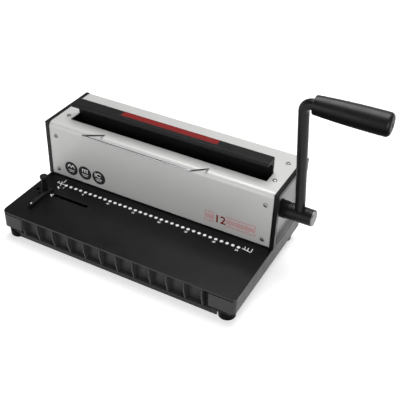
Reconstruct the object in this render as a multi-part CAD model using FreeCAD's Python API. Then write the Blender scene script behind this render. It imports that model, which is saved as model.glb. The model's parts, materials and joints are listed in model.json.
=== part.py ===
"""Wire binding machine: hand punch with 34 holes and a bar that closes the wire.

Frame: millimetres, Z up, X along the hole row, the operator stands at -Y.
The origin lies in the middle of the base pan's underside; the feet reach below it.
"""
import FreeCAD, Part
import math
import os

# Fits and gaps used all over.
running_fit = 0.05
sliding_fit = 0.08
free_gap = 0.3

# Hole row: three holes to the inch, 34 of them. It sets the width of everything.
hole_count = 34
hole_pitch = 25.4 / 3
hole_d = 4.0
row_half = hole_pitch * (hole_count - 1) / 2
punch_y = 16.4

# Racks and pinions share one tooth size; the handle's sweep sets both travels.
handle_sweep = math.radians(85)
tooth_m = 1.25
tooth_play = 0.16
pressure_angle = math.radians(20)
punch_teeth = 16
closing_teeth = 14
punch_r = tooth_m * punch_teeth / 2
closing_r = tooth_m * closing_teeth / 2
tooth_root = 1.25 * tooth_m
punch_travel = punch_r * handle_sweep
closing_travel = closing_r * handle_sweep

# Widths, from the hole row outwards.
post_x = row_half + 10.3
frame_in = post_x + 16.0
frame_t = 3.0
frame_out = frame_in + frame_t
body_half_x = frame_out + 6.7
rim_t = 6.3
rim_out = body_half_x + rim_t
base_half_x = body_half_x + 5.3

# Depths: the body stands behind the hole row, the base reaches a little further.
body_front = punch_y - 12.0
body_depth = 101.0
body_rear = body_front + body_depth
base_half_y = body_rear + 2.0

# Base: a moulded table on a pan, standing on four feet.
foot_h = 9.0
base_h = 36.0
table_z = base_h
table_t = 2.5
under_table = table_z - table_t
base_corner_r = 6.0
left_corner_r = 8.0
base_edge_r = 1.2
edge_groove_top = table_z - 2.7
edge_groove_h = 1.5
edge_groove_depth = 1.5
skirt_h = 25.0
skirt_t = 2.5
skirt_bottom = table_z - skirt_h
pan_t = 2.0
pan_top = pan_t
pan_half_x = base_half_x - 5.0
pan_half_y = base_half_y - 5.0
pan_wall_front = -20.0
pan_corner_r = 10.0
pan_low_wall = 15.0
pan_flange_drop = 6.0
pan_flange_inset = 1.5
pan_flange_end = 10.0
rest_disc_d = 40.0
rest_groove_w = 1.5
rest_groove_depth = 0.5

# Feet with their screws.
foot_left = -pan_half_x + 7.0
foot_right = pan_half_x - 12.5
foot_y = pan_half_y - 12.0
foot_r_floor = 11.5
foot_r_pan = 12.0
foot_hollow_d = 10.0
foot_hollow_h = 4.0
foot_seat = foot_hollow_h - foot_h
foot_screw_d = 3.4
foot_screw_head_d = 8.0
foot_screw_head_h = 2.5

# Front of the base: a recess with thin webs between two solid ends.
recess_left = -base_half_x + 32.4
recess_right = base_half_x - 37.0
recess_depth = 12.0
web_step = 25.6
web_t = 2.0
web_setback = 0.8
web_notch = 2.5
web_knee_h = 17.0

# Die, paper gap and punch guide.
throat_h = 2.0
die_t = 6.0
die_bottom = table_z - die_t
die_front = punch_y - 10.0
die_rear = punch_y + 12.0
guide_t = 8.0
guide_half_x = post_x + 13.0
guide_bottom = table_z + throat_h
guide_top = guide_bottom + guide_t
stop_front = punch_y + 5.0
stop_end_w = 7.0
bolt_step = 12 * hole_pitch
bolt_inset = 4.0
bolt_side = 9.0
bolt_d = 4.0
bolt_head_d = 6.0
bolt_head_h = 4.0
support_w = 11.0

# Punch bar with its pins.
bar_gap = 1.2
bar_h = 12.0
bar_half_y = 7.0
bar_half_x = post_x + 12.0
bar_bottom = guide_top + punch_travel + bar_gap
bar_top = bar_bottom + bar_h
pin_tip = guide_bottom + 0.6
pin_head_d = 6.0
pin_head_h = 2.0
cap_t = 3.0
cap_half_x = row_half + 3.5
cap_top = bar_top + cap_t
cap_screw_d = 2.5
cap_screw_depth = 6.0
cap_screw_head_d = 4.4
cap_screw_head_h = 2.0
post_d = 8.0
post_top = bar_top + 21.0
bush_wall = 2.4

# Shaft with its pinions, placed so that the racks stand on the punch bar.
shaft_d = 12.0
shaft_y = punch_y + 15.0
shaft_z = cap_top + 9.2
bush_t = 2.0
bush_flange_t = 2.0
bush_flange_d = shaft_d + 9.0
ring_wall = 3.0
ring_t = 1.7
shaft_spare = 1.5
punch_gear_x = (row_half - 8.7, row_half + 3.3)
closing_gear_x = (post_x + 5.0, post_x + 12.0)
rack_body_t = 8.0

# Return spring round the shaft.
spring_turns = 9
spring_wire = 1.6
spring_pitch = 2.3
spring_r = 8.3
spring_x = -60.0
spring_leg = 6.0
collar_d = 20.0
collar_w = 6.5

# Body: bent sheet over the mechanism, with a dark rim at each side.
sheet_t = 1.2
body_top = shaft_z + 36.6
bend_r = 7.0
body_inner_front = body_front + sheet_t
body_inner_rear = body_rear - sheet_t
body_under_top = body_top - sheet_t
rim_proud = 0.5
rim_band = 6.0
rim_foot = 1.5
rim_edge_r = 0.8
side_panel_t = 1.5
panel_lip_inset = 0.5
hub_hole_gap = 1.0

# Inner frame: two steel plates that carry the shaft, tied by two rods.
flange_t = 2.0
flange_w = 13.0
frame_front = body_inner_front + flange_t
frame_rear = body_inner_rear - flange_t
frame_foot_front = 60.0
frame_foot_rear = pan_half_y - pan_t - free_gap
frame_top_front = 24.0
tie_d = 10.0
tie_y = body_rear - 21.4
tie_low = table_z + 17.0
tie_high = body_top - 11.8
tie_screw_d = 5.0
tie_screw_depth = 10.0
tie_head_d = 9.0
tie_head_h = 3.0
spacer_d = 10.0
spacer_front = body_front + 11.6
spacer_rear = body_rear - 9.4

# Screws of the covers.
screw_d = 3.0
screw_head_d = 6.4
screw_head_h = 1.6
screw_length = 4.0
screw_low = table_z + 11.4
screw_high = body_top - 19.6
front_screw_x = frame_in - 1.0
top_screw_x = frame_in - 3.5
rear_screw_x = frame_in - 5.0
top_screw_front = body_front + 30.5
top_screw_rear = body_rear - 25.2

# Closing bar above the slot in the top, and the trough under the slot.
wire_gap = 7.5
slot_front = shaft_y - 4.0
slot_half_x = closing_gear_x[0] - 0.7
closer_half_x = slot_half_x - 0.8
closer_web_t = 3.0
closer_flange_t = 5.4
closer_depth = 20.0
closer_rear = slot_front + wire_gap + closing_travel + closer_web_t
closer_front = closer_rear - closer_depth
closer_top = body_top + 24.5
closer_curve_r = 12.0
closer_edge_r = 1.2
slot_rear = closer_rear + 1.1
trough_t = 2.0
trough_half_x = slot_half_x - 1.8
trough_floor = body_top - 20.8
trough_rear = closer_rear + 11.1
trough_lip = 6.0
trough_lip_t = 1.2
closer_bottom = trough_floor + 1.0

# Rails of the closing bar and the carriers that run on them.
rail_d = 6.0
rail_x = (closing_gear_x[0] + closing_gear_x[1]) / 2
rail_z = shaft_z + closing_r + 6.05
rail_front = body_front + 4.6
rail_rear = closer_rear + 23.1
bracket_t = 3.0
bracket_half_h = 5.0
bracket_side = 4.0
carrier_top = rail_z + 4.5
carrier_rear = closer_rear + 4.0
lug_top = body_under_top - 6.6

# Handle: hub on the shaft, bent round arm and a tapered grip.
hub_d = 22.4
hub_start = rim_out + 4.5
hub_length = 34.5
hub_end = hub_start + hub_length
hub_chamfer = 0.6
hub_cap_t = 2.0
hub_collar_d = 24.0
set_screw_inset = 5.5
set_screw_d = 5.0
socket_r = 1.3
socket_depth = 2.0
arm_x = hub_end - 18.0
arm_d = 13.2
arm_lean = math.radians(12.2)
arm_length = 186.8
arm_bend_r = 12.0
arm_seat = shaft_d / 2 + 0.5
grip_start = arm_x + arm_bend_r + free_gap
grip_length = 88.5
grip_end = grip_start + grip_length
grip_r_start = 11.4
grip_r_end = 13.8
grip_nose_r = 5.0
grip_bulge = 0.8
grip_floor = 12.0
grip_vent_d = 5.0

# Wire rack over the front edge.
rack_left = -87.8
rack_right = 76.4
rack_d = 2.6
rack_root_y = body_front + 9.1
rack_reach = 50.0
rack_rise = 26.4
rack_inside = 6.0
rack_bend_r = 3.2
rack_clamp_half_x = 6.0
rack_clamp_front = body_front + 8.2
rack_clamp_rear = body_front + 14.8
rack_clamp_h = 8.1

# Paper edge guide on the table, with its clamp.
guide_face_x = -row_half - 8.8
guide_bar_w = 5.0
guide_bar_h = 6.0
guide_bar_front = -83.4
guide_edge_r = 1.2
pad_t = 2.5
pad_w = 15.5
pad_half_y = 7.5
table_gap = 0.2
clamp_x = guide_face_x - 8.6
clamp_y = -40.2
clamp_out = 12.0
clamp_in = 69.0
clamp_play = 1.5
clamp_slot_w = 7.4
stud_d = 6.8
stud_reach = 6.5
neck_d = 8.4
clamp_head_d = 11.6
clamp_head_h = 5.5
clamp_h = 27.8
nut_half_x = 6.0
nut_half_y = 6.0
nut_h = 4.3

# Chip drawer under the die, pulled out at the rear.
drawer_half_x = row_half + 5.3
drawer_front = -4.0
drawer_h = 19.5
drawer_wall = 1.8
drawer_clear = 0.5
drawer_face_t = 3.0
drawer_face_side = 4.0
drawer_face_top = table_z - 8.0
drawer_lip_half = 40.0
drawer_lip_reach = 8.0
drawer_lip_t = 3.0


def box(x0, x1, y0, y1, z0, z1):
    """Block between two corners."""
    return Part.makeBox(x1 - x0, y1 - y0, z1 - z0, FreeCAD.Vector(x0, y0, z0))


def rod_x(x0, x1, y, z, d):
    """Round bar along X."""
    return Part.makeCylinder(d / 2, x1 - x0, FreeCAD.Vector(x0, y, z), FreeCAD.Vector(1, 0, 0))


def rod_y(y0, y1, x, z, d):
    """Round bar along Y."""
    return Part.makeCylinder(d / 2, y1 - y0, FreeCAD.Vector(x, y0, z), FreeCAD.Vector(0, 1, 0))


def rod_z(z0, z1, x, y, d):
    """Round bar along Z."""
    return Part.makeCylinder(d / 2, z1 - z0, FreeCAD.Vector(x, y, z0), FreeCAD.Vector(0, 0, 1))


def slab_x(x0, x1, outline):
    """Flat outline given as (y, z) points, pushed along X."""
    points = [FreeCAD.Vector(x0, y, z) for y, z in outline]
    face = Part.Face(Part.makePolygon(points + points[:1]))
    return face.extrude(FreeCAD.Vector(x1 - x0, 0, 0))


def fuse(solids):
    """One clean solid from several that touch."""
    return solids[0].multiFuse(solids[1:]).removeSplitter()


def group(solids):
    """Separate solids that share a name."""
    return Part.makeCompound(solids)


def mirrored(solid):
    """Left hand copy of a right hand piece."""
    return solid.mirror(FreeCAD.Vector(0, 0, 0), FreeCAD.Vector(1, 0, 0))


def pair(solids):
    """Right hand pieces with their left hand copies."""
    return group(solids + [mirrored(s) for s in solids])


def edges_at(solid, test):
    """Edges whose every corner passes the test."""
    return [e for e in solid.Edges if all(test(v.Point) for v in e.Vertexes)]


def near(a, b):
    """Same place, within a hundredth of a millimetre."""
    return abs(a - b) < 0.01


def round_box_z(x0, x1, y0, y1, z0, z1, r):
    """Block with rounded upright corners."""
    solid = box(x0, x1, y0, y1, z0, z1)
    upright = [e for e in solid.Edges if abs(e.tangentAt(e.FirstParameter).z) > 0.99]
    return solid.makeFillet(r, upright)


def hole_places():
    """X of every hole in the row."""
    return [-row_half + hole_pitch * i for i in range(hole_count)]


def tooth_flank(teeth, steps):
    """Half tooth of a pinion as (radius, half angle) pairs from root to tip."""
    pitch_r = tooth_m * teeth / 2
    base_r = pitch_r * math.cos(pressure_angle)
    tip_r = pitch_r + tooth_m
    half_at_pitch = (math.pi * tooth_m / 2 - tooth_play) / 2 / pitch_r
    involute_at_pitch = math.tan(pressure_angle) - pressure_angle
    flank = []
    for i in range(steps + 1):
        r = base_r + (tip_r - base_r) * i / steps
        angle = math.acos(base_r / r)
        flank.append((r, half_at_pitch + involute_at_pitch - (math.tan(angle) - angle)))
    return [(pitch_r - tooth_root, flank[0][1])] + flank


def pinion(x0, x1, teeth, gap_angle):
    """Pinion on the shaft with a tooth gap at gap_angle, measured from +Y towards +Z."""
    flank = tooth_flank(teeth, 4)
    step = 2 * math.pi / teeth
    outline = []
    for i in range(teeth):
        middle = gap_angle + step * (i + 0.5)
        side = [(r, middle - a) for r, a in flank] + [(r, middle + a) for r, a in reversed(flank)]
        outline += [(shaft_y + r * math.cos(t), shaft_z + r * math.sin(t)) for r, t in side]
    return slab_x(x0, x1, outline).cut(rod_x(x0, x1, shaft_y, shaft_z, shaft_d))


def rack_outline(travel):
    """Rack teeth as (along, out) points; out is 0 on the pitch line, + towards the pinion."""
    step = math.pi * tooth_m
    half = (step / 2 - tooth_play) / 2
    slope = math.tan(pressure_angle)
    last = math.ceil(travel / step) + 1
    points = []
    for middle in [step * k for k in range(-1, last)]:
        points.append((middle - half - tooth_root * slope, -tooth_root))
        points.append((middle - half + tooth_m * slope, tooth_m))
        points.append((middle + half - tooth_m * slope, tooth_m))
        points.append((middle + half + tooth_root * slope, -tooth_root))
    return points


# Base pieces.

def base_block(inset, z0, z1):
    """Block with the outline of the base, set in by inset; its front left corner is the roundest."""
    x, y = base_half_x - inset, base_half_y - inset
    solid = box(-x, x, -y, y, z0, z1)
    for cx, cy, r in [(-x, -y, left_corner_r), (-x, y, base_corner_r), (x, -y, base_corner_r), (x, y, base_corner_r)]:
        solid = solid.makeFillet(r - inset, edges_at(solid, lambda p: near(p.x, cx) and near(p.y, cy)))
    return solid


def make_table():
    """Moulded table: plate, skirt with a groove under its front edge, and the webbed recess."""
    outer = base_block(0, skirt_bottom, table_z)
    outer = outer.makeFillet(base_edge_r, edges_at(outer, lambda p: near(p.z, table_z)))
    inside = base_block(skirt_t, skirt_bottom, under_table)
    groove = box(-base_half_x, base_half_x, -base_half_y, -base_half_y + edge_groove_depth,
                 edge_groove_top - edge_groove_h, edge_groove_top)
    wall_y = -base_half_y + recess_depth
    recess = box(recess_left, recess_right, -base_half_y, wall_y, skirt_bottom, under_table)
    shell = outer.cut([inside, recess])
    wall = box(recess_left - skirt_t, recess_right + skirt_t, wall_y, wall_y + skirt_t, pan_top, under_table)
    ends = [box(x, x + skirt_t, -base_half_y + skirt_t, wall_y, skirt_bottom, under_table)
            for x in (recess_left - skirt_t, recess_right)]
    solid = fuse([shell, wall] + ends + make_webs(wall_y))
    window = box(-frame_out - free_gap, frame_out + free_gap, die_front - table_gap,
                 body_inner_rear - 1, under_table, table_z)
    slot = box(clamp_x - clamp_out - stud_d / 2 - clamp_play, clamp_x + clamp_in + stud_d / 2 + clamp_play,
               clamp_y - clamp_slot_w / 2, clamp_y + clamp_slot_w / 2, under_table, table_z)
    door = box(-drawer_half_x - drawer_clear, drawer_half_x + drawer_clear,
               base_half_y - skirt_t, base_half_y, skirt_bottom, pan_top + drawer_h + 2 * drawer_clear)
    return solid.cut([window, slot, door, groove])


def make_webs(wall_y):
    """Thin webs of the recess, slanted back to the edge of the pan."""
    front = -base_half_y + web_setback
    notch = -base_half_y + web_notch
    groove_bottom = edge_groove_top - edge_groove_h
    outline = [(wall_y, under_table), (notch, under_table), (notch, groove_bottom), (front, groove_bottom),
               (front, pan_top + web_knee_h), (-pan_half_y + free_gap, pan_top), (wall_y, pan_top)]
    count = int((recess_right - recess_left - web_t) / web_step) + 1
    return [slab_x(x, x + web_t, outline) for x in [recess_left + web_step * i for i in range(count)]]


def foot_places():
    """Centres of the four feet."""
    return [(x, y) for x in (foot_left, foot_right) for y in (-foot_y, foot_y)]


def make_pan():
    """Bottom pan: floor with a pressed ring, flange under the recess, and side walls that carry the table."""
    end_y = -pan_half_y + pan_flange_inset
    floor = box(-pan_half_x, pan_half_x, end_y, pan_half_y, 0, pan_top)
    for side in (-pan_half_x, pan_half_x):
        floor = floor.makeFillet(pan_corner_r, edges_at(floor, lambda p: near(p.x, side) and near(p.y, end_y)))
    edge_strip = box(recess_left, recess_right, -pan_half_y, end_y, 0, pan_top)
    sides = []
    for x in (-pan_half_x, pan_half_x - pan_t):
        sides.append(box(x, x + pan_t, pan_wall_front, pan_half_y, pan_top, under_table))
        sides.append(box(x, x + pan_t, end_y + pan_corner_r, pan_wall_front, pan_top, pan_low_wall))
    front = box(foot_left + pan_flange_end, foot_right - pan_flange_end, end_y, end_y + pan_t, -pan_flange_drop, 0)
    edge = drawer_half_x + drawer_clear
    rear = [box(x0, x1, pan_half_y - pan_t, pan_half_y, pan_top, under_table)
            for x0, x1 in ((-pan_half_x, -edge), (edge, pan_half_x))]
    bores = [rod_z(0, pan_top, x, y, foot_screw_d) for x, y in foot_places()]
    groove = rod_z(0, rest_groove_depth, 0, 0, rest_disc_d + 2 * rest_groove_w)
    groove = groove.cut(rod_z(0, rest_groove_depth, 0, 0, rest_disc_d))
    return fuse([floor, edge_strip, front] + sides + rear).cut(bores + [groove])


def make_feet():
    """Rubber feet with a hollow for the screw head."""
    feet = []
    for x, y in foot_places():
        cone = Part.makeCone(foot_r_floor, foot_r_pan, foot_h, FreeCAD.Vector(x, y, -foot_h))
        feet.append(cone.cut([rod_z(-foot_h, foot_seat, x, y, foot_hollow_d),
                              rod_z(foot_seat, 0, x, y, foot_screw_d)]))
    return group(feet)


def make_foot_screws():
    """Screws that hold the feet to the pan."""
    screws = []
    for x, y in foot_places():
        head = rod_z(foot_seat - foot_screw_head_h, foot_seat, x, y, foot_screw_head_d)
        screws.append(fuse([head, rod_z(foot_seat, pan_top, x, y, foot_screw_d)]))
    return group(screws)


# Frame and covers.

def front_screw_places():
    """(x, z) of the screws in the front sheet."""
    return [(x, z) for x in (-front_screw_x, front_screw_x) for z in (screw_low, screw_high)]


def top_screw_places():
    """(x, y) of the screws in the top sheet."""
    return [(x, y) for x in (-top_screw_x, top_screw_x) for y in (top_screw_front, top_screw_rear)]


def rear_screw_places():
    """(x, z) of the screws in the rear cover."""
    return [(x, z) for x in (-rear_screw_x, rear_screw_x) for z in (screw_low, screw_high)]


def front_shank(x, z):
    """Shank of a front screw, which is also its bore."""
    return rod_y(body_front, body_front + screw_length, x, z, screw_d)


def top_shank(x, y):
    """Shank of a top screw, which is also its bore."""
    return rod_z(body_top - screw_length, body_top, x, y, screw_d)


def rear_shank(x, z):
    """Shank of a rear screw, which is also its bore."""
    return rod_y(body_rear - screw_length, body_rear, x, z, screw_d)


def screw_bores():
    """Bores for every cover screw."""
    bores = [front_shank(x, z) for x, z in front_screw_places()]
    bores += [top_shank(x, y) for x, y in top_screw_places()]
    bores += [rear_shank(x, z) for x, z in rear_screw_places()]
    return bores


def make_front_screws():
    """Screws in the front sheet."""
    screws = []
    for x, z in front_screw_places():
        head = rod_y(body_front - screw_head_h, body_front, x, z, screw_head_d)
        screws.append(fuse([head, front_shank(x, z)]))
    return group(screws)


def make_top_screws():
    """Screws in the top sheet."""
    screws = []
    for x, y in top_screw_places():
        head = rod_z(body_top, body_top + screw_head_h, x, y, screw_head_d)
        screws.append(fuse([head, top_shank(x, y)]))
    return group(screws)


def make_rear_screws():
    """Screws in the rear cover."""
    screws = []
    for x, z in rear_screw_places():
        head = rod_y(body_rear, body_rear + screw_head_h, x, z, screw_head_d)
        screws.append(fuse([head, rear_shank(x, z)]))
    return group(screws)


def tie_places():
    """(y, z) of the tie rods."""
    return [(tie_y, tie_low), (tie_y, tie_high)]


def tie_bores():
    """Bores for the tie screws at the right."""
    return [rod_x(frame_in - tie_screw_depth, frame_out, y, z, tie_screw_d) for y, z in tie_places()]


def make_side_frame():
    """Right inner plate with flanges for the covers and a bore for the bush."""
    outline = [(frame_front, pan_top), (frame_foot_rear, pan_top), (frame_foot_rear, table_z),
               (frame_rear, table_z), (frame_rear, body_under_top),
               (body_front + bend_r + free_gap, body_under_top), (frame_front, body_top - bend_r - flange_t)]
    plate = slab_x(frame_in, frame_out, outline)
    inner = frame_out - flange_w
    foot = box(inner, frame_out, frame_foot_front, frame_foot_rear, pan_top, pan_top + flange_t)
    top = box(inner, frame_out, frame_top_front, frame_rear, body_under_top - flange_t, body_under_top)
    front = box(inner, frame_out, body_inner_front, frame_front, guide_top + 1, body_top - bend_r - flange_t)
    rear = box(inner, frame_out, frame_rear, body_inner_rear, table_z, body_under_top)
    bores = screw_bores() + tie_bores() + [rod_x(frame_in, frame_out, shaft_y, shaft_z, shaft_d + 2 * bush_t)]
    return fuse([plate, foot, top, front, rear]).cut(bores)


def make_shell():
    """Bent sheet: front face, rounded edge and top with the slot."""
    block = box(-body_half_x, body_half_x, body_front, body_rear, guide_bottom, body_top)
    edge = edges_at(block, lambda p: near(p.y, body_front) and near(p.z, body_top))
    block = block.makeFillet(bend_r, edge)
    core = box(-body_half_x, body_half_x, body_inner_front, body_rear, guide_bottom, body_under_top)
    edge = edges_at(core, lambda p: near(p.y, body_inner_front) and near(p.z, body_under_top))
    core = core.makeFillet(bend_r - sheet_t, edge)
    slot = box(-slot_half_x, slot_half_x, slot_front, slot_rear, body_under_top, body_top)
    legs = [rack_leg(x) for x in (rack_left, rack_right)]
    return block.cut([core, slot] + legs + screw_bores())


def make_rear_cover():
    """Flat sheet that closes the rear."""
    sheet = box(-body_half_x, body_half_x, body_inner_rear, body_rear, table_z, body_under_top)
    return sheet.cut(screw_bores())


def make_side_panel():
    """Grey sheet at the right side, rounded like the bend of the shell; its lower edge covers the rim foot."""
    x0 = body_half_x - side_panel_t
    sheet = box(x0, body_half_x, body_inner_front, body_inner_rear, table_z, body_under_top)
    edge = edges_at(sheet, lambda p: near(p.y, body_inner_front) and near(p.z, body_under_top))
    sheet = sheet.makeFillet(bend_r - sheet_t, edge)
    inset = rim_band - rim_proud + free_gap
    lip_z = table_z + rim_foot + free_gap
    lip = box(x0, rim_out - panel_lip_inset, body_front + inset, body_rear - inset, lip_z, lip_z + side_panel_t)
    return fuse([sheet, lip])


def hub_hole():
    """Hole in the right side panel for the collar of the hub."""
    return rod_x(frame_out, rim_out, shaft_y, shaft_z, hub_collar_d + 2 * hub_hole_gap)


def make_side_rim():
    """Dark frame round the right side panel."""
    y0 = body_front - rim_proud
    y1 = body_rear + rim_proud
    z1 = body_top + rim_proud
    outer = box(body_half_x, rim_out, y0, y1, table_z, z1)
    outer = outer.makeFillet(rim_edge_r, edges_at(outer, lambda p: near(p.x, rim_out) and near(p.z, z1)))
    return outer.cut(box(body_half_x, rim_out, y0 + rim_band, y1 - rim_band, table_z + rim_foot, z1 - rim_band))


def make_side_spacers():
    """Round spacers between inner plates and side panels."""
    places = [(y, z) for y in (spacer_front, spacer_rear) for z in (tie_low, tie_high)]
    return pair([rod_x(frame_out, body_half_x - side_panel_t, y, z, spacer_d) for y, z in places])


def make_tie_rods():
    """Rods that tie the inner plates together, tapped at both ends."""
    bores = tie_bores() + [mirrored(b) for b in tie_bores()]
    return group([rod_x(-frame_in, frame_in, y, z, tie_d).cut(bores) for y, z in tie_places()])


def make_tie_screws():
    """Screws through the inner plates into the tie rods."""
    heads = [rod_x(frame_out, frame_out + tie_head_h, y, z, tie_head_d) for y, z in tie_places()]
    return pair([fuse([shank, head]) for shank, head in zip(tie_bores(), heads)])


def make_shaft_bushes():
    """Flanged bushes in the inner plates."""
    bush = fuse([rod_x(frame_in, frame_out, shaft_y, shaft_z, shaft_d + 2 * bush_t),
                 rod_x(frame_in - bush_flange_t, frame_in, shaft_y, shaft_z, bush_flange_d)])
    bore = rod_x(frame_in - bush_flange_t, frame_out, shaft_y, shaft_z, shaft_d + 2 * running_fit)
    return pair([bush.cut(bore)])


# Die and guide.

def bolt_places():
    """(x, y) of the bolts through guide, stop and die."""
    row = [(x, die_rear - bolt_inset) for x in (-bolt_step, 0.0, bolt_step)]
    return row + [(x, die_front + bolt_inset) for x in (-post_x - bolt_side, post_x + bolt_side)]


def make_die_supports():
    """Pedestals that carry the die over the pan floor."""
    return pair([box(frame_in - support_w, frame_in, die_front + 2, die_rear - 2, pan_top, die_bottom)])


def make_die():
    """Die plate flush with the table."""
    plate = box(-frame_in, frame_in, die_front, die_rear, die_bottom, table_z)
    holes = [rod_z(die_bottom, table_z, x, punch_y, hole_d + 2 * sliding_fit) for x in hole_places()]
    posts = [rod_z(die_bottom, table_z, x, punch_y, post_d) for x in (-post_x, post_x)]
    bolts = [rod_z(die_bottom, table_z, x, y, bolt_d) for x, y in bolt_places()]
    return plate.cut(holes + posts + bolts)


def make_paper_stop():
    """Strip that stops the paper and sets the height of the gap."""
    rear = box(-guide_half_x, guide_half_x, stop_front, die_rear, table_z, guide_bottom)
    ends = [box(x, x + stop_end_w, die_front, stop_front, table_z, guide_bottom)
            for x in (-guide_half_x, guide_half_x - stop_end_w)]
    bores = [rod_z(table_z, guide_bottom, x, y, bolt_d) for x, y in bolt_places()]
    return fuse([rear] + ends).cut(bores)


def make_punch_guide():
    """Guide plate above the gap; it also strips the paper off the pins."""
    plate = box(-guide_half_x, guide_half_x, die_front, die_rear, guide_bottom, guide_top)
    holes = [rod_z(guide_bottom, guide_top, x, punch_y, hole_d + 2 * sliding_fit) for x in hole_places()]
    posts = [rod_z(guide_bottom, guide_top, x, punch_y, post_d) for x in (-post_x, post_x)]
    bolts = [rod_z(guide_bottom, guide_top, x, y, bolt_d) for x, y in bolt_places()]
    heads = [rod_z(guide_top - bolt_head_h, guide_top, x, y, bolt_head_d) for x, y in bolt_places()]
    return plate.cut(holes + posts + bolts + heads)


def make_die_bolts():
    """Sunk bolts through guide, stop and die."""
    bolts = []
    for x, y in bolt_places():
        head = rod_z(guide_top - bolt_head_h, guide_top - free_gap, x, y, bolt_head_d)
        bolts.append(fuse([rod_z(die_bottom, guide_top - bolt_head_h, x, y, bolt_d), head]))
    return group(bolts)


def make_posts():
    """Upright posts that guide the punch bar."""
    posts = []
    for x in (-post_x, post_x):
        post = rod_z(die_bottom, post_top, x, punch_y, post_d)
        posts.append(post.makeChamfer(0.1 * post_d, edges_at(post, lambda p: near(p.z, post_top))))
    return group(posts)


# Punch bar.

def cap_screw_places():
    """(x, y) of the screws in the pin cap, between the pins."""
    between = [hole_pitch * n for n in (-13, -4, 4, 13)]
    return [(x, punch_y + 4.6) for x in between]


def make_punch_bar():
    """Steel bar that carries the pins."""
    bar = box(-bar_half_x, bar_half_x, punch_y - bar_half_y, punch_y + bar_half_y, bar_bottom, bar_top)
    tools = [rod_z(bar_bottom, bar_top, x, punch_y, hole_d) for x in hole_places()]
    tools += [rod_z(bar_top - pin_head_h, bar_top, x, punch_y, pin_head_d) for x in hole_places()]
    tools += [rod_z(bar_bottom, bar_top, x, punch_y, post_d + 2 * bush_wall) for x in (-post_x, post_x)]
    tools += [rod_z(bar_top - cap_screw_depth, bar_top, x, y, cap_screw_d) for x, y in cap_screw_places()]
    return bar.cut(tools)


def make_pins():
    """Punch pins with a head at the top."""
    pins = []
    for x in hole_places():
        pins.append(fuse([rod_z(pin_tip, bar_top - pin_head_h, x, punch_y, hole_d),
                          rod_z(bar_top - pin_head_h, bar_top, x, punch_y, pin_head_d)]))
    return group(pins)


def make_post_bushes():
    """Bushes of the punch bar on the posts."""
    bushes = []
    for x in (-post_x, post_x):
        ring = rod_z(bar_bottom, bar_top, x, punch_y, post_d + 2 * bush_wall)
        bushes.append(ring.cut(rod_z(bar_bottom, bar_top, x, punch_y, post_d + 2 * running_fit)))
    return group(bushes)


def make_pin_cap():
    """Strip over the pin heads."""
    strip = box(-cap_half_x, cap_half_x, punch_y - bar_half_y, punch_y + bar_half_y, bar_top, cap_top)
    return strip.cut([rod_z(bar_top, cap_top, x, y, cap_screw_d) for x, y in cap_screw_places()])


def make_cap_screws():
    """Screws in the pin cap."""
    screws = []
    for x, y in cap_screw_places():
        head = rod_z(cap_top, cap_top + cap_screw_head_h, x, y, cap_screw_head_d)
        screws.append(fuse([rod_z(bar_top - cap_screw_depth, cap_top, x, y, cap_screw_d), head]))
    return group(screws)


def make_punch_racks():
    """Upright racks on the punch bar, in mesh with the punch pinions."""
    pitch_y = shaft_y - punch_r
    back = pitch_y - rack_body_t
    teeth = [(pitch_y + out, shaft_z + along) for along, out in rack_outline(punch_travel)]
    top = teeth[-1][1] + 1
    outline = [(back, cap_top), (teeth[0][0], cap_top)] + teeth + [(teeth[-1][0], top), (back, top)]
    return pair([slab_x(punch_gear_x[0], punch_gear_x[1], outline)])


# Shaft parts.

def ring_on_shaft(x0, x1, d):
    """Plain ring fixed on the shaft."""
    return rod_x(x0, x1, shaft_y, shaft_z, d).cut(rod_x(x0, x1, shaft_y, shaft_z, shaft_d))


def make_shaft():
    """Main shaft from the left inner plate to the end of the hub."""
    return rod_x(-frame_out - free_gap - ring_t - shaft_spare, hub_end, shaft_y, shaft_z, shaft_d)


def make_shaft_ring():
    """Ring that keeps the shaft in place at the left."""
    x1 = -frame_out - free_gap
    return ring_on_shaft(x1 - ring_t, x1, shaft_d + 2 * ring_wall)


def make_punch_pinions():
    """Pinions that drive the punch bar."""
    return pair([pinion(punch_gear_x[0], punch_gear_x[1], punch_teeth, math.pi)])


def make_closing_pinions():
    """Pinions that drive the closing bar."""
    return pair([pinion(closing_gear_x[0], closing_gear_x[1], closing_teeth, math.pi / 2)])


def spring_point(turn):
    """Place on the centre line of the spring after a number of turns."""
    angle = 2 * math.pi * turn
    return FreeCAD.Vector(spring_x + spring_pitch * turn, shaft_y + spring_r * math.cos(angle),
                          shaft_z + spring_r * math.sin(angle))


def make_spring():
    """Torsion spring that brings the handle back, wound from half turns."""
    arcs = [Part.Arc(spring_point(n / 2), spring_point(n / 2 + 0.25), spring_point(n / 2 + 0.5)).toShape()
            for n in range(2 * spring_turns)]
    start = spring_point(0)
    end = spring_point(spring_turns)
    down = start - FreeCAD.Vector(0, 0, spring_leg)
    up = FreeCAD.Vector(end.x, end.y, trough_floor - trough_t - spring_wire / 2)
    wire = Part.Wire([Part.makeLine(down, start)] + arcs + [Part.makeLine(end, up)])
    profile = Part.Wire([Part.makeCircle(spring_wire / 2, down, FreeCAD.Vector(0, 0, 1))])
    here = [spring_point(n / 24) for n in range(24)]
    beside = [spring_point(1 + n / 24) for n in range(24)]
    gap = min(a.distanceToPoint(b) for a in here for b in beside) - spring_wire
    print("return_spring least gap between turns", round(gap, 2), "mm")
    return wire.makePipeShell([profile], True)


def make_spring_collar():
    """Collar on the shaft that takes the moving end of the spring."""
    x1 = spring_x - spring_wire / 2 - free_gap
    return ring_on_shaft(x1 - collar_w, x1, collar_d)


# Closing bar.

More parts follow.
